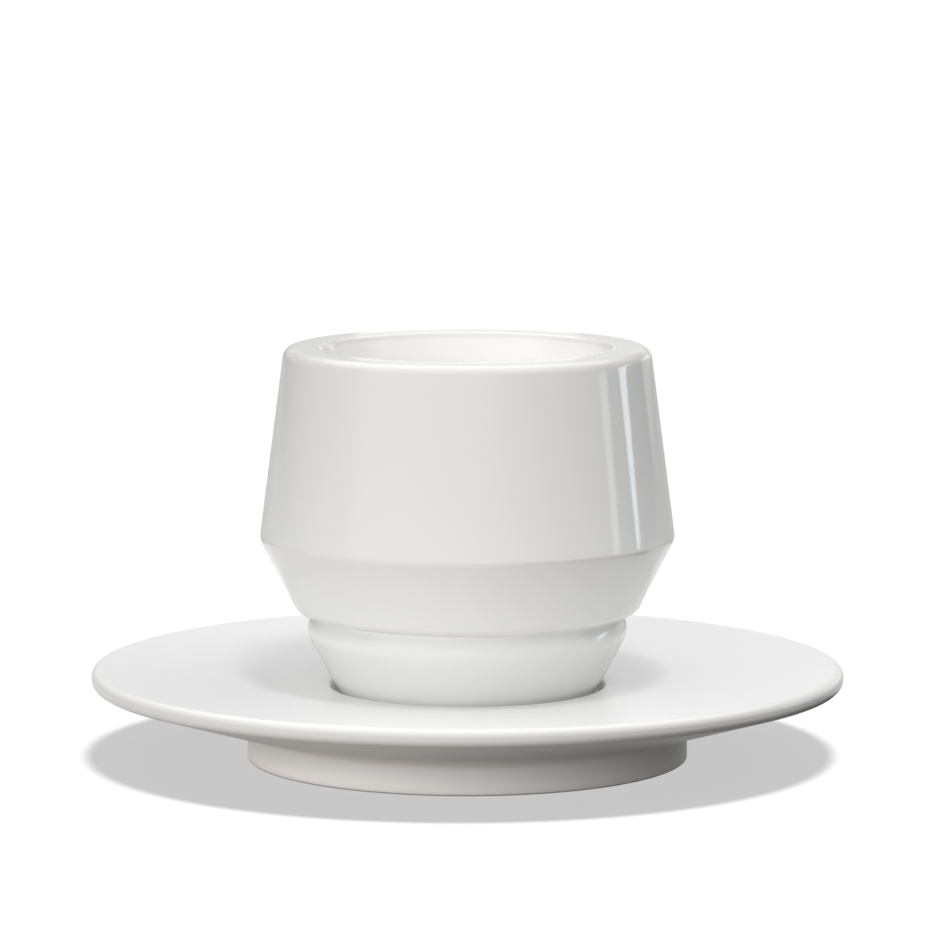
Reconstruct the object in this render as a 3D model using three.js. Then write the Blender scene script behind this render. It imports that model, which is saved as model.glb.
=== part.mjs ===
// Cappuccino cup with saucer: a thick porcelain cup without a handle, standing in the well of a wide saucer.
// Both pieces are turned forms on one upright axis. Sizes are millimetres, +Z is up and the table is z = 0.
// The cup body is two cones that meet at a belly edge. Below a step, the foot repeats them in small.

import * as THREE from "three";

// Cup, with heights counted from the face that it stands on
const CUP_HEIGHT = 72.4;
const RIM_RADIUS = 37.6;
const RIM_ROUND = 2.2;
const BELLY_RADIUS = 42.7;
const BELLY_HEIGHT = 33.2;
const BELLY_ROUND = 2.7;
const BODY_BASE_RADIUS = 35.0;
const BODY_BASE_HEIGHT = 17.7;
const BODY_BASE_ROUND = 3.0;
const NECK_RADIUS = 31.8;
const NECK_ROUND = 0.8;
const BEAD_RADIUS = 33.4;
const BEAD_HEIGHT = 13.9;
const BEAD_ROUND = 4.4;
const CUP_FOOT_RADIUS = 25.9;
const CUP_FOOT_ROUND = 1.0;
const CUP_FOOT_RING_WIDTH = 5.0;
const CUP_FOOT_RECESS = 2.0;

// Inside of the cup: a flared drinking lip, then an even wall down to a rounded floor
const CUP_WALL = 9.0;
const MOUTH_RADIUS = 29.7;
const MOUTH_ROUND = 1.0;
const LIP_DEPTH = 9.0;
const LIP_FLARE = 2.4;
const LIP_BLEND = 24.0;
const INNER_BELLY_RAISE = 1.3;
const INNER_BELLY_ROUND = 10.0;
const CUP_FLOOR_THICKNESS = 7.0;
const CUP_FLOOR_RADIUS = 18.0;
const CUP_FLOOR_ROUND = 14.0;

// Saucer, with heights counted from the table
const SAUCER_RADIUS = 77.5;
const SAUCER_HEIGHT = 19.3;
const SAUCER_EDGE_THICKNESS = 3.4;
const SAUCER_EDGE_ROUND = 1.6;
const SAUCER_FOOT_RADIUS = 45.4;
const SAUCER_FOOT_HEIGHT = 6.2;
const SAUCER_FOOT_WIDTH = 6.0;
const SAUCER_FOOT_ROUND = 0.5;
const UNDERSIDE_ROUND = 1.5;
const PLATE_THICKNESS = 6.6;
const RECESS_RISE = 2.2;
const RECESS_ROUND = 3.0;

// Seat of the cup: a well that follows the cup's foot at an even clearance
const WELL_EDGE_HEIGHT = 15.2;
const WELL_DEPTH = 2.4;
const WELL_CLEARANCE = 1.2;
const WELL_ROUND = 0.8;

// Glaze: a clear gloss over white porcelain
const CUP_COLOR = 0xf2f0ed;
const SAUCER_COLOR = 0xf1efec;
const GLAZE_ROUGHNESS = 0.12;

// Facets
const FACETS_ROUND_AXIS = 64;
const LARGEST_ARC_STEP = THREE.MathUtils.degToRad(20);

const corner = (radius, height, round = 0) => ({ point: new THREE.Vector2(radius, height), round });

// Points of the arc that rounds one corner of an outline, no longer than half of either side.
function roundedCorner(before, { point, round }, after) {
  const back = before.clone().sub(point);
  const ahead = after.clone().sub(point);
  const turn = Math.PI - back.angleTo(ahead);
  const longestReach = Math.min(back.length(), ahead.length()) / 2;
  const reach = Math.min(round * Math.tan(turn / 2), longestReach);
  const radius = reach / Math.tan(turn / 2);
  back.normalize();
  ahead.normalize();
  const bisector = back.clone().add(ahead).normalize();
  const centre = point.clone().addScaledVector(bisector, radius / Math.cos(turn / 2));
  const start = point.clone().addScaledVector(back, reach).sub(centre);
  const side = Math.sign(ahead.cross(back));
  const steps = Math.ceil(turn / LARGEST_ARC_STEP);
  return Array.from({ length: steps + 1 }, (_, i) =>
    start.clone().rotateAround(new THREE.Vector2(), (side * turn * i) / steps).add(centre),
  );
}

// Solid of revolution from an outline of corners that starts and ends on the axis, outside going up.
function turned(corners) {
  const outline = corners.flatMap((here, i) => {
    if (here.round === 0) return [here.point];
    return roundedCorner(corners[i - 1].point, here, corners[i + 1].point);
  });
  return new THREE.LatheGeometry(outline, FACETS_ROUND_AXIS).rotateX(Math.PI / 2);
}

function glazedPorcelain(color) {
  return new THREE.MeshStandardMaterial({ color, roughness: GLAZE_ROUGHNESS, metalness: 0 });
}

// The recess under the foot has a wall at 45 degrees, so it is as wide as it is deep.
function makeCup() {
  const ringInnerRadius = CUP_FOOT_RADIUS - CUP_FOOT_RING_WIDTH;
  const floorHeight = CUP_FOOT_RECESS + CUP_FLOOR_THICKNESS;
  const geometry = turned([
    corner(0, CUP_FOOT_RECESS),
    corner(ringInnerRadius - CUP_FOOT_RECESS, CUP_FOOT_RECESS, CUP_FOOT_ROUND),
    corner(ringInnerRadius, 0, CUP_FOOT_ROUND),
    corner(CUP_FOOT_RADIUS, 0, CUP_FOOT_ROUND),
    corner(BEAD_RADIUS, BEAD_HEIGHT, BEAD_ROUND),
    corner(NECK_RADIUS, BODY_BASE_HEIGHT, NECK_ROUND),
    corner(BODY_BASE_RADIUS, BODY_BASE_HEIGHT, BODY_BASE_ROUND),
    corner(BELLY_RADIUS, BELLY_HEIGHT, BELLY_ROUND),
    corner(RIM_RADIUS, CUP_HEIGHT, RIM_ROUND),
    corner(MOUTH_RADIUS, CUP_HEIGHT, MOUTH_ROUND),
    corner(MOUTH_RADIUS - LIP_FLARE, CUP_HEIGHT - LIP_DEPTH, LIP_BLEND),
    corner(BELLY_RADIUS - CUP_WALL, BELLY_HEIGHT + INNER_BELLY_RAISE, INNER_BELLY_ROUND),
    corner(CUP_FLOOR_RADIUS, floorHeight, CUP_FLOOR_ROUND),
    corner(0, floorHeight),
  ]);
  const cup = new THREE.Mesh(geometry, glazedPorcelain(CUP_COLOR));
  cup.name = "cup";
  return cup;
}

// The well's wall is parallel to the cup's foot. The underside rises round the well to keep the plate even.
function makeSaucer() {
  const footTaper = (BEAD_RADIUS - CUP_FOOT_RADIUS) / BEAD_HEIGHT;
  const wellFloorRadius = CUP_FOOT_RADIUS + WELL_CLEARANCE;
  const wellEdgeRadius = wellFloorRadius + footTaper * WELL_DEPTH;
  const wellFloorHeight = WELL_EDGE_HEIGHT - WELL_DEPTH;
  const recessHeight = wellFloorHeight - PLATE_THICKNESS;
  const footInnerRadius = SAUCER_FOOT_RADIUS - SAUCER_FOOT_WIDTH;
  const geometry = turned([
    corner(0, recessHeight),
    corner(wellFloorRadius, recessHeight, RECESS_ROUND),
    corner(wellEdgeRadius + RECESS_RISE, recessHeight + RECESS_RISE, RECESS_ROUND),
    corner(footInnerRadius, recessHeight + RECESS_RISE, RECESS_ROUND),
    corner(footInnerRadius, 0, SAUCER_FOOT_ROUND),
    corner(SAUCER_FOOT_RADIUS, 0, SAUCER_FOOT_ROUND),
    corner(SAUCER_FOOT_RADIUS, SAUCER_FOOT_HEIGHT, UNDERSIDE_ROUND),
    corner(SAUCER_RADIUS, SAUCER_HEIGHT - SAUCER_EDGE_THICKNESS, SAUCER_EDGE_ROUND),
    corner(SAUCER_RADIUS, SAUCER_HEIGHT, SAUCER_EDGE_ROUND),
    corner(wellEdgeRadius, WELL_EDGE_HEIGHT, WELL_ROUND),
    corner(wellFloorRadius, wellFloorHeight, WELL_ROUND),
    corner(0, wellFloorHeight),
  ]);
  const saucer = new THREE.Mesh(geometry, glazedPorcelain(SAUCER_COLOR));
  saucer.name = "saucer";
  return saucer;
}

const cupWithSaucer = new THREE.Group();
const cup = makeCup();
cup.position.z = WELL_EDGE_HEIGHT - WELL_DEPTH;
cupWithSaucer.add(makeSaucer(), cup);

export default cupWithSaucer;
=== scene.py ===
# %% [markdown]
# # A porcelain cappuccino cup on its saucer
# The set is two fired pieces: a thick cup without a handle, and a wide saucer with a well for the cup's
# foot. Both are white porcelain under a clear gloss glaze. A white object has no colour or pattern to look
# at, so the outline, the roundness of each edge and the way the glaze mirrors the studio have to carry the
# picture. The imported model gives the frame: where each piece is, which body it moves with, and how large it
# may be.

# %% Load the frame
import math

import bpy
import numpy as np
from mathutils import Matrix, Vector


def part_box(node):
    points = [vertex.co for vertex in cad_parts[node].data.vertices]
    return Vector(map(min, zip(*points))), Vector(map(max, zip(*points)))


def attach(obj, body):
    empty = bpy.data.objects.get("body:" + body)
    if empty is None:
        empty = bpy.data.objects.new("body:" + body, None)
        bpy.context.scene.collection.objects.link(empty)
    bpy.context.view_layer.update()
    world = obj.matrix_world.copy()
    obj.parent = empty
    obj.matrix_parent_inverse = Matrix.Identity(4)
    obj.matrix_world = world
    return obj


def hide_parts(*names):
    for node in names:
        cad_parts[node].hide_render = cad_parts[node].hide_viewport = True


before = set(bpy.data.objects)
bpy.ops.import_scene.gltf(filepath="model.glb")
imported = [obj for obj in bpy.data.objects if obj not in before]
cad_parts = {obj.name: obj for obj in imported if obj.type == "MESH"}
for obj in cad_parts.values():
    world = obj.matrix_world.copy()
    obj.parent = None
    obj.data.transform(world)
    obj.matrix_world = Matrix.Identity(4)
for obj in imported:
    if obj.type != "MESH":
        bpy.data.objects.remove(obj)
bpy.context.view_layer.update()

MM = 0.001  # one millimetre in Blender's metres

# %% [markdown]
# ## Outlines with rounded corners
# A potter's template is a line cut in sheet metal: straight runs and the arcs that ease one run into the
# next. The same line could be drawn as a Bezier curve and spun with a Screw modifier, but its arcs are only
# close to round. Here a point of the outline is one complex number, radius + height * 1j, in millimetres.
# Turning a point about a centre is then one multiplication, which keeps the arcs exact and the code short.

# %% Round the corners of an outline
ARC_STEP = math.radians(5)  # largest turn between two points of an arc
RUN_STEP = 1.6  # longest straight stretch between two points, mm


def corner(radius, height, rounding=0.0):
    """One corner of an outline: its place as radius + height * 1j, and the radius of its arc."""
    return complex(radius, height), rounding


def rounded_corner(before, here, after, rounding):
    """The arc that rounds a corner.

    It leaves each side at a distance of rounding * tan(turn / 2) from the corner, or at half of the shorter
    side. Its centre lies on the bisector, and its points are the first one turned about that centre.
    """
    back, ahead = before - here, after - here
    turn = math.pi - abs(np.angle(ahead / back))
    reach = min(rounding * math.tan(turn / 2), abs(back) / 2, abs(ahead) / 2)
    radius = reach / math.tan(turn / 2)
    back, ahead = back / abs(back), ahead / abs(ahead)
    bisector = (back + ahead) / abs(back + ahead)
    centre = here + bisector * radius / math.cos(turn / 2)
    side = np.sign(np.angle(back / ahead))
    share = np.linspace(0, 1, math.ceil(turn / ARC_STEP) + 1)
    return centre + (here + back * reach - centre) * np.exp(1j * side * turn * share)


def outline_through(corners):
    """All points of an outline: an arc at each rounded corner, and straight runs cut into short steps."""
    places = [place for place, _ in corners]
    arcs = [
        rounded_corner(places[i - 1], place, places[i + 1], rounding) if rounding else np.array([place])
        for i, (place, rounding) in enumerate(corners)
    ]
    points = np.concatenate(arcs)
    step = np.diff(points)
    pieces = np.ceil(np.abs(step) / RUN_STEP).astype(int)
    count = np.arange(pieces.sum()) - np.repeat(np.cumsum(pieces) - pieces, pieces)
    return np.append(np.repeat(points[:-1], pieces) + np.repeat(step / pieces, pieces) * count, points[-1])


square_corner = rounded_corner(before=0j, here=10 + 0j, after=10 + 10j, rounding=1.0)
print("a square corner rounded by 1 mm has", len(square_corner), "points and starts at", square_corner[0])

# %% [markdown]
# ## The two outlines
# The cup's body is a tall cone over a short one. Below a step, a small bead and the foot cone repeat them
# in small. Inside, a flared lip runs down into an even wall and a rounded floor, which a spoon can sweep.
# The saucer is a slightly dished plate with a rolled edge, a well in the middle and a ring to stand on. The
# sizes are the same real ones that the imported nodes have, so the fine surface lies where the CAD solid
# lies.

# %% Outline of the cup
cup_low, cup_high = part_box("cup")
SEAT_HEIGHT = cup_low.z / MM  # the cup stands in the well, this high above the table
CUP_HEIGHT = (cup_high.z - cup_low.z) / MM

# Heights are counted from the face that the cup stands on.
FOOT_RADIUS = 25.9
FOOT_RING_WIDTH = 5.0
FOOT_RECESS = 2.0
FOOT_ROUND = 1.0
BEAD_RADIUS, BEAD_HEIGHT = 33.4, 13.9
NECK_RADIUS = 31.8
BASE_RADIUS, BASE_HEIGHT = 35.0, 17.7
BELLY_RADIUS, BELLY_HEIGHT = 42.7, 33.2
RIM_RADIUS = 37.6
MOUTH_RADIUS = 29.7
LIP_FLARE, LIP_DEPTH = 2.4, 9.0
WALL = 9.0
INNER_BELLY_RAISE = 1.3
FLOOR_RADIUS, FLOOR_HEIGHT = 18.0, 9.0

foot_inner_radius = FOOT_RADIUS - FOOT_RING_WIDTH
cup_outline = 1j * SEAT_HEIGHT + outline_through([
    corner(0, FOOT_RECESS),
    corner(foot_inner_radius - FOOT_RECESS, FOOT_RECESS, FOOT_ROUND),
    corner(foot_inner_radius, 0, FOOT_ROUND),
    corner(FOOT_RADIUS, 0, FOOT_ROUND),
    corner(BEAD_RADIUS, BEAD_HEIGHT, rounding=4.4),
    corner(NECK_RADIUS, BASE_HEIGHT, rounding=0.8),
    corner(BASE_RADIUS, BASE_HEIGHT, rounding=3.0),
    corner(BELLY_RADIUS, BELLY_HEIGHT, rounding=2.7),
    corner(RIM_RADIUS, CUP_HEIGHT, rounding=2.2),
    corner(MOUTH_RADIUS, CUP_HEIGHT, rounding=1.0),
    corner(MOUTH_RADIUS - LIP_FLARE, CUP_HEIGHT - LIP_DEPTH, rounding=24.0),
    corner(BELLY_RADIUS - WALL, BELLY_HEIGHT + INNER_BELLY_RAISE, rounding=10.0),
    corner(FLOOR_RADIUS, FLOOR_HEIGHT, rounding=14.0),
    corner(0, FLOOR_HEIGHT),
])
print("cup outline:", len(cup_outline), "points,", round(abs(np.diff(cup_outline)).sum()), "mm long")

# %% Outline of the saucer
saucer_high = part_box("saucer")[1]
SAUCER_RADIUS = saucer_high.x / MM
SAUCER_HEIGHT = saucer_high.z / MM

# Heights are counted from the table.
EDGE_THICKNESS = 3.4
EDGE_ROUND = 1.6
RING_RADIUS = 45.4
RING_WIDTH = 6.0
RING_HEIGHT = 6.2
RING_ROUND = 0.5
HOLLOW_RADIUS, HOLLOW_HEIGHT = 30.6, 8.4  # between the well's underside and the standing ring
HOLLOW_ROUND = 3.0
WELL_GAP = 1.2  # room round the cup's foot
WELL_EDGE_RADIUS, WELL_EDGE_HEIGHT = 28.4, 15.2
WELL_UNDERSIDE = 6.2
WELL_ROUND = 0.8

well_radius = FOOT_RADIUS + WELL_GAP
saucer_outline = outline_through([
    corner(0, WELL_UNDERSIDE),
    corner(well_radius, WELL_UNDERSIDE, HOLLOW_ROUND),
    corner(HOLLOW_RADIUS, HOLLOW_HEIGHT, HOLLOW_ROUND),
    corner(RING_RADIUS - RING_WIDTH, HOLLOW_HEIGHT, HOLLOW_ROUND),
    corner(RING_RADIUS - RING_WIDTH, 0, RING_ROUND),
    corner(RING_RADIUS, 0, RING_ROUND),
    corner(RING_RADIUS, RING_HEIGHT, rounding=1.5),
    corner(SAUCER_RADIUS, SAUCER_HEIGHT - EDGE_THICKNESS, EDGE_ROUND),
    corner(SAUCER_RADIUS, SAUCER_HEIGHT, EDGE_ROUND),
    corner(WELL_EDGE_RADIUS, WELL_EDGE_HEIGHT, WELL_ROUND),
    corner(well_radius, SEAT_HEIGHT, WELL_ROUND),
    corner(0, SEAT_HEIGHT),
])
print("saucer outline:", len(saucer_outline), "points,", round(abs(np.diff(saucer_outline)).sum()), "mm long")

# %% [markdown]
# ## Turning the outlines
# Each piece is its outline turned about the upright axis, as on a potter's wheel or a jiggering machine.
# Porcelain softens in the kiln, so a fired wall is never quite round. Two slow waves of a few hundredths of
# a millimetre stand for that: nobody sees them as a shape, but they let a reflected edge wander a little.
# The ends of the outline lie on the axis. They become single vertices with a fan of triangles, so the skin
# is closed.

# %% Turn an outline into a closed surface
STEPS_ROUND = 256
STEP_ANGLES = np.arange(STEPS_ROUND) * 2 * math.pi / STEPS_ROUND
TWO_LOBES, THREE_LOBES = 0.03, 0.02  # how far each wave moves the saucer's edge, mm
TWO_LOBE_DRIFT, THREE_LOBE_DRIFT = 37, -23  # height in which a wave drifts round by one radian, mm
THREE_LOBE_START = 1.0  # where the second wave starts, radians


def out_of_round(radius, height, angle):
    """How far firing moves a wall outwards, in mm: waves of two and three lobes, drifting with height."""
    two_lobes = TWO_LOBES * np.sin(2 * angle + height / TWO_LOBE_DRIFT)
    three_lobes = THREE_LOBES * np.sin(3 * angle + height / THREE_LOBE_DRIFT + THREE_LOBE_START)
    return (two_lobes + three_lobes) * radius / SAUCER_RADIUS


def turned_surface(name, outline):
    """A surface of revolution: the point (radius r, height z) turned by the angle a is (r cos a, r sin a, z).

    The firing waves are added to r. The outline's first and last points become single vertices on the axis.
    """
    height, angle = outline.imag[1:-1, None], STEP_ANGLES[None, :]
    radius = outline.real[1:-1, None] + out_of_round(outline.real[1:-1, None], height, angle)
    grid = np.stack(np.broadcast_arrays(radius * np.cos(angle), radius * np.sin(angle), height), axis=-1)
    poles = [[0, 0, outline.imag[0]], [0, 0, outline.imag[-1]]]
    vertices = MM * np.vstack([grid.reshape(-1, 3), poles])

    here = np.arange(STEPS_ROUND)
    beside = np.roll(here, -1)
    row = STEPS_ROUND * np.arange(len(outline) - 3)[:, None]
    above = row + STEPS_ROUND
    quads = np.stack([row + here, row + beside, above + beside, above + here], axis=-1)
    last_row = STEPS_ROUND * (len(outline) - 3)
    first_fan = np.stack([np.full_like(here, len(vertices) - 2), beside, here], axis=-1)
    last_fan = np.stack([last_row + here, last_row + beside, np.full_like(here, len(vertices) - 1)], axis=-1)

    mesh = bpy.data.meshes.new(name)
    faces = quads.reshape(-1, 4).tolist() + first_fan.tolist() + last_fan.tolist()
    mesh.from_pydata(vertices.tolist(), [], faces)
    mesh.shade_smooth()
    piece = bpy.data.objects.new(name, mesh)
    bpy.context.scene.collection.objects.link(piece)
    print(name, "has", 2 * quads.shape[0] * STEPS_ROUND + 2 * STEPS_ROUND, "triangles")
    return piece


# %% Make the cup and the saucer
cup = turned_surface("porcelain_cup", cup_outline)
saucer = turned_surface("porcelain_saucer", saucer_outline)

for piece, node in ((cup, "cup"), (saucer, "saucer")):
    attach(piece, node)
    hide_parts(node)

# %% [markdown]
# ## Where the glaze runs, and where light and shade are painted
# Glaze melts in the kiln. It draws back from sharp edges, where the warmer clay shows through a thinner coat.
# Hollows are painted a tone that stands in for their light and shade: painted shade in the cup's creases, and
# a faint painted lift of light in the saucer's hollows. The inside of the cup and the top of the saucer are
# the sides in use. They get a painted tone for how light falls there: lighter inside the cup, and nearly the
# plain white on the saucer. The ring that a piece stands on is wiped clean before firing, or it would stick
# to the shelf. A Geometry node's Pointiness would find edges too, but it depends on how fine the mesh is, and
# the outline knows better: its bend, in radians per millimetre, is worked out once and stored on the vertices
# for the material to read.

# %% Store the bend, the height above the standing face and the side in use
BEND_REACH = 1.2  # how far along the outline an edge thins the glaze, mm
FULL_BEND = 0.35  # bend at which the glaze is at its thinnest, radians per mm
TOP_SLACK = 0.001  # how far below the highest point still counts as the top, mm


def outline_bend(outline):
    """Bend of the outline at each point: its turn there, spread by a bell curve over the length around it.

    It is positive at edges that stand out and negative in hollows, as the clay is on the outline's left.
    """
    step = np.diff(outline)
    turn = np.angle(step[1:] / step[:-1])
    along = np.cumsum(np.abs(step))[:-1]
    spread = np.exp(-((along[:, None] - along[None, :]) / BEND_REACH) ** 2 / 2)
    return spread @ turn / (BEND_REACH * math.sqrt(2 * math.pi))


def store_on_vertices(piece, name, ring_values, pole_values):
    """Writes one number per vertex: each ring's value is repeated round it, and the two poles come last."""
    values = np.append(np.repeat(ring_values, STEPS_ROUND), pole_values)
    attribute = piece.data.attributes.new(name, "FLOAT", "POINT")
    attribute.data.foreach_set("value", values.astype(np.float32))


for piece, outline in ((cup, cup_outline), (saucer, saucer_outline)):
    bend = np.clip(outline_bend(outline) / FULL_BEND, -1, 1)
    rise = outline.imag - outline.imag.min()
    last_on_top = np.flatnonzero(rise > rise.max() - TOP_SLACK)[-1]
    in_use = np.arange(len(outline)) > last_on_top
    store_on_vertices(piece, "glaze_bend", bend, [0, 0])
    store_on_vertices(piece, "foot_rise", rise[1:-1], [rise[0], rise[-1]])
    store_on_vertices(piece, "used_side", in_use[1:-1], [0, 1])
    print(piece.name, "bends from", round(bend.min(), 2), "to", round(bend.max(), 2))
    print(piece.name, "is", round(rise.max(), 1), "mm high, with", in_use.sum(), "rings on the side in use")

# %% [markdown]
# ## Glazed porcelain
# Porcelain is a white, glassy clay. It is dipped in a clear glaze and fired, so the eye sees two layers: a
# soft white from the body, and over it a thin glass that mirrors lamps as crisp shapes. A Principled BSDF
# does both at once: its diffuse part is the body, its specular part with an IOR of 1.5 is the glass. Close
# up the glaze isn't a perfect mirror. It has a faint orange peel, a few iron specks from the clay, and slow
# drifts of tone. All patterns read Object coordinates in metres, so their sizes are real ones. The cup has
# a full gloss. The saucer's is softer, so it mirrors the cup as a blur.

# %% Helpers for colours and nodes
def linear(code):
    """An sRGB hex code such as #F0EEEA as the linear RGBA that shaders calculate with."""
    share = np.array([int(code[i:i + 2], 16) for i in (1, 3, 5)]) / 255
    values = np.where(share <= 0.04045, share / 12.92, ((share + 0.055) / 1.055) ** 2.4)
    return (*values.tolist(), 1.0)


def add_node(tree, kind, inputs=None, **settings):
    """Adds a node. Settings are its own properties. Inputs are values or the sockets to link."""
    node = tree.nodes.new("ShaderNode" + kind)
    for name, value in settings.items():
        setattr(node, name, value)
    for name, value in (inputs or {}).items():
        if isinstance(value, bpy.types.NodeSocket):
            tree.links.new(value, node.inputs[name])
        else:
            node.inputs[name].default_value = value
    return node


def per_metre(millimetres):
    """Texture scale that gives a pattern a feature of this size: repeats per metre of Object coordinates."""
    return 1000 / millimetres


WHITE = linear("#FFFFFF")
BLACK = linear("#000000")
print("the hex white #F0F0EE is", [round(v, 3) for v in linear("#F0F0EE")[:3]], "in linear tones")

# %% Make the glazed porcelain
DRIFT_PATCH = 18  # mm
SPECK_CELL = 9  # one grain in each cell of this width, mm
SPECK_LUCK = 0.55  # share of the cells whose grain is too small to see
SPECK_RADIUS = 0.022  # of the largest grain, as a share of its cell
SPECK_DEPTH = 0.16  # how much of a grain's brown shows through the glaze
SPECK_BROWN = "#8C7A66"
THIN_FROM, THIN_SHARE = 0.6, 0.6  # bend at which the glaze starts to thin, and how thin it gets
HOLLOW_TONE_FROM, HOLLOW_TONE_SHARE = -0.15, 0.8  # the same for the painted tone of light and shade in hollows
BARE_CLAY = "#DAD6CF"
BARE_ROUGHNESS = 0.75
BARE_LINE = (0.2, 0.4)  # least and most height of the glaze line on the standing ring, mm
BARE_BLEND = 0.06  # mm
LINE_WANDER = 4  # mm
WEAR_PATCH = 25  # mm
NOISE_RANGE = (0.2, 0.8)  # values between which nearly all of a noise pattern lies
PEEL_WIDTH, PEEL_DEPTH = 2.5, 0.002  # ripples of the orange peel, mm
GRIT_WIDTH, GRIT_DEPTH = 0.4, 0.04  # grains of the bare clay, drawn coarser than they are, mm
GLASS_IOR = 1.5


def glazed_porcelain(name, white, cool_white, in_use_painted_tone, thin_white, hollow_painted_tone, polish):
    """Clear gloss glaze on white porcelain.

    The colour drifts between white and cool_white. On the side in use it takes a painted tone for how light
    falls there. It goes to thin_white on edges, and in hollows to a painted tone of light and shade, with
    pale specks. Polish is the least and most roughness.
    The standing ring is bare, matt clay up to a slightly uneven glaze line.
    """
    material = bpy.data.materials.new(name)
    material.use_nodes = True
    tree = material.node_tree
    shader = tree.nodes["Principled BSDF"]
    place = add_node(tree, "TexCoord").outputs["Object"]
    bend = add_node(tree, "Attribute", attribute_name="glaze_bend").outputs["Fac"]
    rise = add_node(tree, "Attribute", attribute_name="foot_rise").outputs["Fac"]
    used = add_node(tree, "Attribute", attribute_name="used_side").outputs["Fac"]

    # The colour of the coat: a slow drift of the melt, a painted tone for the light on the side in use, then
    # thin glaze on edges and painted light and shade in hollows.
    drift = add_node(tree, "TexNoise", {"Vector": place, "Scale": per_metre(DRIFT_PATCH), "Detail": 2.0})
    thin = add_node(tree, "MapRange", {"Value": bend, "From Min": THIN_FROM, "From Max": 1.0,
                                       "To Max": THIN_SHARE})
    # Painted light and shade in hollows: darker in the cup's creases, a little lighter in the saucer's
    # hollows.
    deep = add_node(tree, "MapRange", {"Value": bend, "From Min": HOLLOW_TONE_FROM, "From Max": -1.0,
                                       "To Max": HOLLOW_TONE_SHARE})
    glaze = add_node(tree, "Mix", {"Factor": drift.outputs["Fac"], "A": linear(white),
                                   "B": linear(cool_white)}, data_type="RGBA")
    # Painted light on the side in use: the inside of the cup is painted lighter for how light falls in the
    # mouth.
    in_use_painted = add_node(tree, "Mix", {"Factor": used, "A": glaze.outputs["Result"],
                                    "B": linear(in_use_painted_tone)}, data_type="RGBA")
    edged = add_node(tree, "Mix", {"Factor": thin.outputs[0], "A": in_use_painted.outputs["Result"],
                                   "B": linear(thin_white)}, data_type="RGBA")
    hollow_toned = add_node(tree, "Mix", {"Factor": deep.outputs[0], "A": edged.outputs["Result"],
                                    "B": linear(hollow_painted_tone)}, data_type="RGBA")

    # Iron specks: each cell draws the size of its grain, and most grains are too small to see.
    cell = add_node(tree, "TexVoronoi", {"Vector": place, "Scale": per_metre(SPECK_CELL)})
    grain = add_node(tree, "MapRange", {"Value": cell.outputs["Color"], "From Min": SPECK_LUCK,
                                        "From Max": 1.0, "To Max": SPECK_RADIUS})
    speck = add_node(tree, "MapRange", {"Value": cell.outputs["Distance"], "From Max": grain.outputs[0],
                                        "To Min": SPECK_DEPTH, "To Max": 0.0})
    speckled = add_node(tree, "Mix", {"Factor": speck.outputs[0], "A": hollow_toned.outputs["Result"],
                                      "B": linear(SPECK_BROWN)}, data_type="RGBA")

    # Bare clay on the standing ring, below a glaze line that wanders up and down.
    wander = add_node(tree, "TexNoise", {"Vector": place, "Scale": per_metre(LINE_WANDER), "Detail": 3.0})
    line = add_node(tree, "MapRange", {"Value": wander.outputs["Fac"], "To Min": BARE_LINE[0],
                                       "To Max": BARE_LINE[1]})
    above_line = add_node(tree, "Math", {0: rise, 1: line.outputs[0]}, operation="SUBTRACT")
    bare = add_node(tree, "MapRange", {"Value": above_line.outputs[0], "From Max": BARE_BLEND,
                                       "To Min": 1.0, "To Max": 0.0}).outputs[0]
    finish = add_node(tree, "Mix", {"Factor": bare, "A": speckled.outputs["Result"], "B": linear(BARE_CLAY)},
                      data_type="RGBA")
    tree.links.new(finish.outputs["Result"], shader.inputs["Base Color"])

    # Polish: glossy, with faint duller patches. The bare ring is matt.
    wear = add_node(tree, "TexNoise", {"Vector": place, "Scale": per_metre(WEAR_PATCH), "Detail": 1.0})
    sheen = add_node(tree, "MapRange", {"Value": wear.outputs["Fac"], "From Min": NOISE_RANGE[0],
                                        "From Max": NOISE_RANGE[1], "To Min": polish[0], "To Max": polish[1]})
    dull = add_node(tree, "Mix", {"Factor": bare, "A": sheen.outputs[0], "B": BARE_ROUGHNESS})
    tree.links.new(dull.outputs["Result"], shader.inputs["Roughness"])

    # Orange peel of the glaze, and grit where the clay is bare.
    peel = add_node(tree, "TexNoise", {"Vector": place, "Scale": per_metre(PEEL_WIDTH), "Detail": 1.0})
    peel_bump = add_node(tree, "Bump", {"Height": peel.outputs["Fac"], "Strength": 1.0,
                                        "Distance": PEEL_DEPTH * MM})
    grit = add_node(tree, "TexNoise", {"Vector": place, "Scale": per_metre(GRIT_WIDTH), "Detail": 2.0})
    grit_bump = add_node(tree, "Bump", {"Height": grit.outputs["Fac"], "Strength": bare,
                                        "Distance": GRIT_DEPTH * MM, "Normal": peel_bump.outputs["Normal"]})
    tree.links.new(grit_bump.outputs["Normal"], shader.inputs["Normal"])

    shader.inputs["IOR"].default_value = GLASS_IOR
    shader.inputs["Metallic"].default_value = 0.0
    print(name, "has", len(tree.nodes), "nodes")
    return material


# The cup: painted lighter inside, a painted light in the mouth, and painted darker in its hollows, a painted
# shade in the creases.
cup.data.materials.append(glazed_porcelain(
    "glazed_porcelain_cup", white="#F0F0EE", cool_white="#EEEEEC", in_use_painted_tone="#F4F3F2",
    thin_white="#DFDDD9", hollow_painted_tone="#EBEBE9", polish=(0.06, 0.09),
))
# The saucer: its hollows painted a little lighter, a painted lift of light. Its side in use is nearly the
# plain white.
saucer.data.materials.append(glazed_porcelain(
    "glazed_porcelain_saucer", white="#EEEEEE", cool_white="#ECECEC", in_use_painted_tone="#EDEDED",
    thin_white="#E9E8E6", hollow_painted_tone="#F0F0F0", polish=(0.28, 0.31),
))
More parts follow.
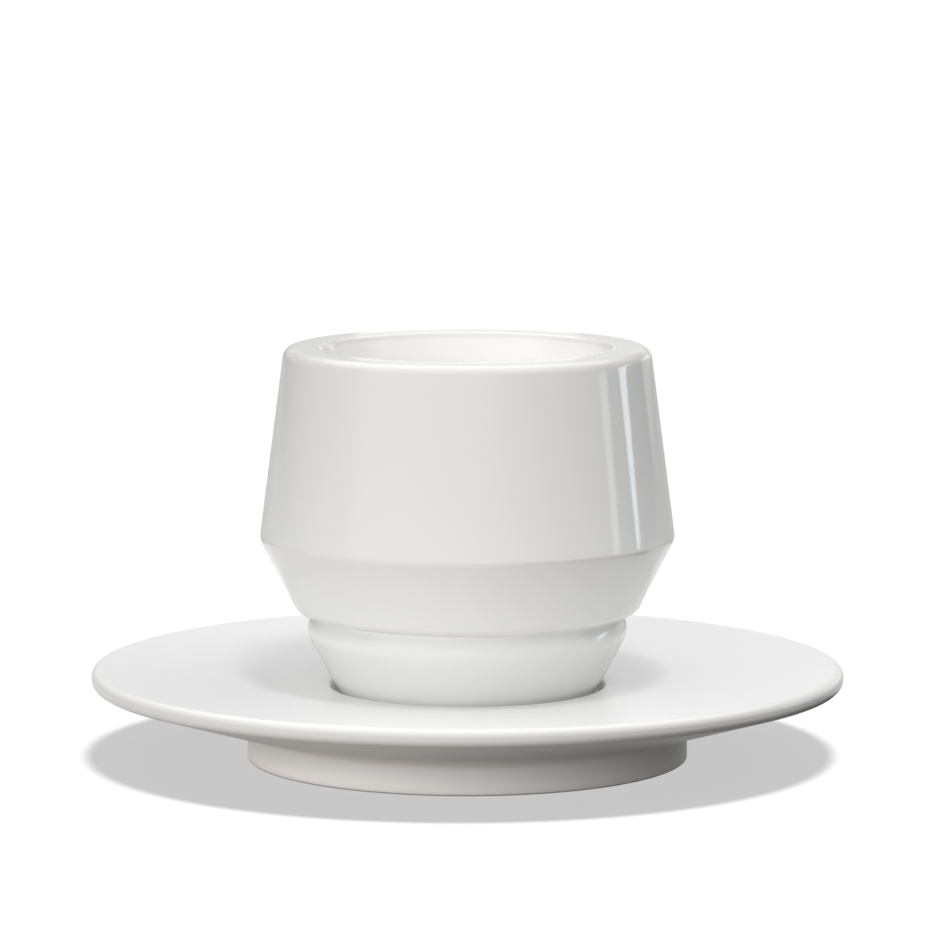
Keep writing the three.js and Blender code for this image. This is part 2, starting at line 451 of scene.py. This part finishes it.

# %% [markdown]
# ## Floor
# The set stands on white paper. In a studio picture the paper is pure white and only the shadow of the main
# lamp is left on it, so the floor has a lamp of its own, which light linking keeps off the object. The paper
# glows at the tone of the shadow, for the camera and for mirror images, and its lamp lifts it to white. All
# other rays meet a painted glow on the paper, which stands in for the light that the paper throws back on the
# object. It is faintly warm and has three parts: a pool in front, a ring round the saucer, and a seam along
# the saucer's foot. The last two fade to the right.

# %% Make the floor
SHADOW_TONE = 0.562  # linear tone of the floor in the shadow
PAPER_GREY = 0.05  # share of its lamp's light that the paper throws back
FIBRE_WIDTH, FIBRE_SWING = 1.5, 0.02  # width of the paper's fibres in mm, and how much they change its grey
PAINTED_BOUNCE_TINT = "#FFF1E3"
POOL_GLOW, POOL_PLACE = 0.8, (0.0, -0.4, 0.0)
POOL_EDGE = (0.28, 0.16)  # distances at which the pool starts and is full, m
SEAM_GLOW = 1.15
SEAM_OUTSIDE, SEAM_INSIDE = (0.053, 0.048), (0.0458, 0.0468)  # starts and is full, from outside and inside, m
RING_GLOW = 0.4
RING_INSIDE, RING_OUTSIDE = (0.055, 0.085), (0.16, 0.1)
FADE_SPAN, FADE_LEFT_OVER = 0.045, 0.1  # half width of the fade in m, and the share that is left at the right
FLOOR_REACH = 30.0  # half width of the floor, m


def seen_directly(tree):
    """1 for rays from the camera, from a mirror image or through glass, 0 for all other rays."""
    ray = add_node(tree, "LightPath").outputs
    mirrored = add_node(tree, "Math", {0: ray["Is Camera Ray"], 1: ray["Is Glossy Ray"]}, operation="MAXIMUM")
    direct = add_node(tree, "Math", {0: mirrored.outputs[0], 1: ray["Is Transmission Ray"]},
                      operation="MAXIMUM")
    return direct.outputs[0]


paper = bpy.data.materials.new("white_paper")
paper.use_nodes = True
paper.cycles.emission_sampling = "NONE"
tree = paper.node_tree
shader = tree.nodes["Principled BSDF"]
place = add_node(tree, "TexCoord").outputs["Object"]
direct = seen_directly(tree)

# Pool of painted glow: by the distance to its middle.
to_pool = add_node(tree, "VectorMath", {0: place, 1: POOL_PLACE}, operation="DISTANCE").outputs["Value"]
pool = add_node(tree, "MapRange", {"Value": to_pool, "From Min": POOL_EDGE[0], "From Max": POOL_EDGE[1],
                                   "To Max": POOL_GLOW}, interpolation_type="SMOOTHSTEP")

# Seam and ring of painted glow: each is full between its inside and its outside, by the distance to the
# object's axis. The seam stops just short of the saucer's foot, so the foot's lowest edge gets no glow and
# stays dark.
to_axis = add_node(tree, "VectorMath", {0: place}, operation="LENGTH").outputs["Value"]
bands = []
for glow, inside, outside in ((SEAM_GLOW, SEAM_INSIDE, SEAM_OUTSIDE), (RING_GLOW, RING_INSIDE, RING_OUTSIDE)):
    inner = add_node(tree, "MapRange", {"Value": to_axis, "From Min": inside[0], "From Max": inside[1],
                                        "To Max": glow})
    outer = add_node(tree, "MapRange", {"Value": to_axis, "From Min": outside[0], "From Max": outside[1]})
    bands.append(add_node(tree, "Math", {0: inner.outputs[0], 1: outer.outputs[0]}, operation="MULTIPLY"))
both = add_node(tree, "Math", {0: bands[0].outputs[0], 1: bands[1].outputs[0]}, operation="ADD")
across = add_node(tree, "SeparateXYZ", {0: place}).outputs["X"]
fade = add_node(tree, "MapRange", {"Value": across, "From Min": -FADE_SPAN, "From Max": FADE_SPAN,
                                   "To Min": 1.0, "To Max": FADE_LEFT_OVER})
faded = add_node(tree, "Math", {0: both.outputs[0], 1: fade.outputs[0]}, operation="MULTIPLY")
painted_bounce_glow = add_node(tree, "Math", {0: pool.outputs[0], 1: faded.outputs[0]}, operation="ADD")

glow = add_node(tree, "Mix", {"Factor": direct, "A": painted_bounce_glow.outputs[0], "B": SHADOW_TONE})
tint = add_node(tree, "Mix", {"Factor": direct, "A": linear(PAINTED_BOUNCE_TINT), "B": WHITE}, data_type="RGBA")
tree.links.new(tint.outputs["Result"], shader.inputs["Emission Color"])
tree.links.new(glow.outputs["Result"], shader.inputs["Emission Strength"])

# The paper's own grey, which its lamp shines on.
fibre = add_node(tree, "TexNoise", {"Vector": place, "Scale": per_metre(FIBRE_WIDTH)}).outputs["Fac"]
grey = add_node(tree, "MapRange", {"Value": fibre, "To Min": (1 - FIBRE_SWING) * PAPER_GREY,
                                   "To Max": (1 + FIBRE_SWING) * PAPER_GREY})
tone = add_node(tree, "Math", {0: grey.outputs[0], 1: direct}, operation="MULTIPLY")
tree.links.new(tone.outputs[0], shader.inputs["Base Color"])
shader.inputs["Roughness"].default_value = 1.0
shader.inputs["Specular IOR Level"].default_value = 0.0

sheet = bpy.data.meshes.new("paper_floor")
corners = FLOOR_REACH * np.array([[-1, -1, 0], [1, -1, 0], [1, 1, 0], [-1, 1, 0]])
sheet.from_pydata(corners.tolist(), [], [(0, 1, 2, 3)])
sheet.materials.append(paper)
floor = bpy.data.objects.new("paper_floor", sheet)
bpy.context.scene.collection.objects.link(floor)
print("floor glows at", SHADOW_TONE, "and its lamp adds", round(1 - SHADOW_TONE, 3))

# %% [markdown]
# ## Light
# White ware is lit by a tent of cloth: soft light from all round, here brightest at the back right. A wide,
# low panel at the front left is added, so that the round body turns from light to shade. Over the set hangs
# one lamp, a little to the front right, which draws the soft shadow of the belly on the saucer. A sun of
# the same direction and width shines on the floor alone, and draws the one shadow there. The glaze mirrors
# neither panel nor lamp. What it mirrors stands further down, and can be placed on its own.

# %% Lamps
LAMP_DISTANCE = 1.2  # m
KEY_DIRECTION = np.array([0.096, -0.257, 1.0])
KEY_WIDTH = 0.205  # angle that the main lamp fills, radians
KEY_SHARE = 0.225  # tone that it adds on a white surface that faces it
PANEL_AZIMUTH, PANEL_ELEVATION = 242, 16.4  # degrees
PANEL_SIZE = (2.4, 0.25)  # m
PANEL_GLOW = 5.3


def direction(azimuth, elevation):
    """Unit vector to a place round the object: azimuth from right to back, elevation from the floor."""
    flat, up = math.radians(azimuth), math.radians(elevation)
    return np.array([math.cos(up) * math.cos(flat), math.cos(up) * math.sin(flat), math.sin(up)])


def receivers(name, *pieces):
    """A collection of the pieces that a lamp shines on."""
    group = bpy.data.collections.new(name)
    for piece in pieces:
        group.objects.link(piece)
    return group


def aim(lamp, towards):
    """Turns a lamp, which shines along its own -Z, so that it shines from a direction on the origin."""
    lamp.rotation_euler = Vector(towards.tolist()).to_track_quat("Z", "Y").to_euler()


def soft_lamp(name, towards, size, radiance, shape="RECTANGLE"):
    """An area lamp for the object, whose face has the given radiance: power = radiance * pi * area."""
    lamp = bpy.data.lights.new(name, "AREA")
    lamp.shape = shape
    lamp.size, lamp.size_y = size
    area = size[0] * size[1] * (math.pi / 4 if shape == "ELLIPSE" else 1)
    lamp.energy = radiance * math.pi * area
    holder = bpy.data.objects.new(name, lamp)
    holder.location = (LAMP_DISTANCE * towards / np.linalg.norm(towards)).tolist()
    aim(holder, towards)
    holder.visible_camera = holder.visible_glossy = False
    holder.light_linking.receiver_collection = on_object
    bpy.context.scene.collection.objects.link(holder)
    print(name, "radiance", round(radiance, 2), "power", round(lamp.energy, 2), "W")


on_object = receivers("lit_object", cup, saucer)
on_floor = receivers("lit_floor", floor)

sun = bpy.data.lights.new("floor_key", "SUN")
sun.angle = KEY_WIDTH
slant = KEY_DIRECTION[2] / np.linalg.norm(KEY_DIRECTION)
sun.energy = math.pi * (1 - SHADOW_TONE) / (PAPER_GREY * slant)
floor_key = bpy.data.objects.new("floor_key", sun)
aim(floor_key, KEY_DIRECTION)
floor_key.light_linking.receiver_collection = on_floor
bpy.context.scene.collection.objects.link(floor_key)

key_size = KEY_WIDTH * LAMP_DISTANCE
key_radiance = KEY_SHARE * math.pi / (math.pi / 4 * KEY_WIDTH ** 2)
soft_lamp("main_lamp", KEY_DIRECTION, (key_size, key_size), key_radiance, "ELLIPSE")
soft_lamp("low_panel", direction(PANEL_AZIMUTH, PANEL_ELEVATION), PANEL_SIZE, PANEL_GLOW)

# %% Tent of soft light
TENT_GLOW = 1.56  # mean glow of the cloth
TENT_SWING = 1.2  # how much brighter it is at the back right, and dimmer at the front left
BRIGHT_SIDE = direction(75, 0)
CLOTH_RISE = [math.sin(math.radians(elevation)) for elevation in (17, 48)]  # where it starts and is full
TOP_FROM, TOP_SHARE = 0.82, 0.3  # height from which it dims, and the share that is left straight above

tent = bpy.data.worlds.new("light_tent")
tent.use_nodes = True
tent.cycles.sampling_method = "NONE"
tree = tent.node_tree
way = add_node(tree, "TexCoord").outputs["Generated"]
side = add_node(tree, "VectorMath", {0: way, 1: BRIGHT_SIDE.tolist()}, operation="DOT_PRODUCT")
cloth = add_node(tree, "MapRange", {"Value": side.outputs["Value"], "From Min": -1.0, "From Max": 1.0,
                                    "To Min": TENT_GLOW - TENT_SWING, "To Max": TENT_GLOW + TENT_SWING})
height = add_node(tree, "SeparateXYZ", {0: way}).outputs["Z"]
risen = add_node(tree, "MapRange", {"Value": height, "From Min": CLOTH_RISE[0], "From Max": CLOTH_RISE[1]},
                 interpolation_type="SMOOTHSTEP")
top = add_node(tree, "MapRange", {"Value": height, "From Min": TOP_FROM, "From Max": 1.0,
                                  "To Min": 1.0, "To Max": TOP_SHARE})
lit = add_node(tree, "Math", {0: cloth.outputs[0], 1: risen.outputs[0]}, operation="MULTIPLY")
soft = add_node(tree, "Math", {0: lit.outputs[0], 1: top.outputs[0]}, operation="MULTIPLY")
strength = add_node(tree, "Mix", {"Factor": seen_directly(tree), "A": soft.outputs[0], "B": 1.0})
tree.links.new(strength.outputs["Result"], tree.nodes["Background"].inputs["Strength"])
tree.nodes["Background"].inputs["Color"].default_value = WHITE
bpy.context.scene.world = tent
print("tent glows at", round(TENT_GLOW - TENT_SWING, 2), "to", round(TENT_GLOW + TENT_SWING, 2))

# %% [markdown]
# ## Cards for the glaze to mirror
# White ware in a white tent loses its edges. Photographers stand grey and black cards just outside the
# picture. The glaze mirrors them where it turns away from the eye, so a thin grey line parts the cup from
# the background. Bright strips at the right draw the two upright lines on the cup, which show how glossy it
# is. These cards are met by mirror images only: they take no light from the object and cast no shadow.

# %% Make cards
CARD_DISTANCE = 1.5  # m
STRIP_DISTANCE = 1.2  # m
CARD_STEPS = 24
PAPER_GAP = 0.0002  # height of a card that lies on the paper, m


def mirrored_card(name, low, high, tone, tint="#FFFFFF"):
    """A bent sheet of card. Its two edges are arcs round the upright axis, joined by straight lines.

    Each edge is given as start and end azimuth in degrees, radius and height.
    """
    edges = []
    for start, end, radius, height in (low, high):
        angle = np.radians(np.linspace(start, end, CARD_STEPS + 1))
        across, deep, up = radius * np.cos(angle), radius * np.sin(angle), np.full_like(angle, height)
        edges.append(np.stack([across, deep, up], axis=-1))
    here = np.arange(CARD_STEPS)
    faces = np.stack([here, here + 1, here + CARD_STEPS + 2, here + CARD_STEPS + 1], axis=-1)
    mesh = bpy.data.meshes.new(name)
    mesh.from_pydata(np.vstack(edges).tolist(), [], faces.tolist())
    board = bpy.data.materials.new("painted_board_" + name)
    board.use_nodes = True
    board.cycles.emission_sampling = "NONE"
    shader = board.node_tree.nodes["Principled BSDF"]
    shader.inputs["Base Color"].default_value = BLACK
    shader.inputs["Specular IOR Level"].default_value = 0.0
    shader.inputs["Emission Color"].default_value = linear(tint)
    shader.inputs["Emission Strength"].default_value = tone
    mesh.materials.append(board)
    card = bpy.data.objects.new(name, mesh)
    card.visible_camera = card.visible_diffuse = card.visible_shadow = False
    bpy.context.scene.collection.objects.link(card)
    print(name, "from", low, "to", high, "tone", tone)


def standing_card(name, azimuths, heights, tone, distance=CARD_DISTANCE, tint="#FFFFFF"):
    """An upright card between two azimuths and two heights."""
    low, high = heights
    mirrored_card(name, (*azimuths, distance, low), (*azimuths, distance, high), tone, tint)


def lying_card(name, azimuths, radii, tone):
    """A flat card on the paper, between two azimuths and two distances from the axis."""
    near, far = radii
    mirrored_card(name, (*azimuths, near, PAPER_GAP), (*azimuths, far, PAPER_GAP), tone)


# %% Place the cards
RIGHT, BACK_RIGHT, MIDDLE, LEFT = (3, 47), (47, 88), (88, 92), (92, 200)  # azimuths, degrees
LOW_TOP, CARD_TOP, BLACK_TOP = 0.17, 0.487, 1.26  # heights of the three rows of cards, m
RIM_LOW, RIM_HIGH = 0.23, 0.35  # heights that the flat rim mirrors, m
WINDOW_TINT = "#E4F4FF"  # cool daylight

# Grey cards behind the set, with a black one over them.
standing_card("right_card", RIGHT, (0.0, CARD_TOP), tone=0.4, tint=WINDOW_TINT)
standing_card("back_right_card", BACK_RIGHT, (LOW_TOP, CARD_TOP), tone=0.5)
standing_card("low_card", BACK_RIGHT, (0.0, LOW_TOP), tone=0.9)
standing_card("middle_card", MIDDLE, (0.0, RIM_LOW), tone=1.15)
standing_card("rim_card", MIDDLE, (RIM_LOW, RIM_HIGH), tone=0.62)
standing_card("upper_card", MIDDLE, (RIM_HIGH, CARD_TOP), tone=1.15)
standing_card("left_card", LEFT, (0.0, CARD_TOP), tone=0.39)
standing_card("black_card", (RIGHT[0], LEFT[1]), (CARD_TOP, BLACK_TOP), tone=0.0)

# Cards on the paper: behind the set, under the saucer, and a black one at the right of it.
BEHIND, ALL_ROUND, BESIDE = (15, 170), (0, 360), (-67, 22)  # azimuths, degrees
FOOT_EDGE, PLATE_EDGE, SIDE_END, BACK_START = 0.0456, 0.079, 0.2, 0.22  # distances from the axis, m
lying_card("back_card", BEHIND, (BACK_START, CARD_DISTANCE), tone=0.6)
lying_card("under_card", ALL_ROUND, (FOOT_EDGE, PLATE_EDGE), tone=0.45)
lying_card("side_card", BESIDE, (PLATE_EDGE, SIDE_END), tone=0.0)

# Bright cards: one for the lip inside the mouth, and two slanted strips for the lines on the cup.
LIP_AZIMUTHS, LIP_HEIGHTS = (50, 68), (0.14, 0.3)
bright_low = (16.3, 17.0, STRIP_DISTANCE, 0.0)
bright_middle = (16.3, 27.5, STRIP_DISTANCE, 0.18)
bright_high = (27.5, 33.0, STRIP_DISTANCE, 0.27)
dim_low = (-3.5, -1.5, STRIP_DISTANCE, 0.0)
dim_high = (-2.5, 5.0, STRIP_DISTANCE, 0.18)
standing_card("lip_card", LIP_AZIMUTHS, LIP_HEIGHTS, tone=1.5, distance=STRIP_DISTANCE)
mirrored_card("bright_strip", bright_low, bright_middle, tone=4.6, tint=WINDOW_TINT)
mirrored_card("bright_tip", bright_middle, bright_high, tone=4.6, tint=WINDOW_TINT)
mirrored_card("dim_strip", dim_low, dim_high, tone=2.8, tint=WINDOW_TINT)

# %% [markdown]
# ## Camera
# The picture is taken from just above the rim with a long lens, from more than a metre away, so the circles
# are narrow ellipses and the two sides of the cup stay nearly parallel.

# %% Place the camera
SENSOR, LENS = 36.0, 217.24  # width and focal length, mm
FARTHEST = 200.0  # m
CAMERA_PLACE = (-0.00029, -1.14678, 0.20838)  # m
CAMERA_DIP = 7.3486  # how far it looks down, degrees

lens = bpy.data.cameras.new("camera")
lens.sensor_width = SENSOR
lens.lens = LENS
lens.clip_end = FARTHEST
camera = bpy.data.objects.new("camera", lens)
camera.location = CAMERA_PLACE
camera.rotation_euler = (math.radians(90 - CAMERA_DIP), 0, 0)
bpy.context.scene.collection.objects.link(camera)
bpy.context.scene.camera = camera
bpy.context.scene.view_settings.view_transform = "Standard"
print("camera is", round(math.hypot(*CAMERA_PLACE), 2), "m from the set's foot")
print("it sees", round(math.degrees(lens.angle), 1), "degrees across")
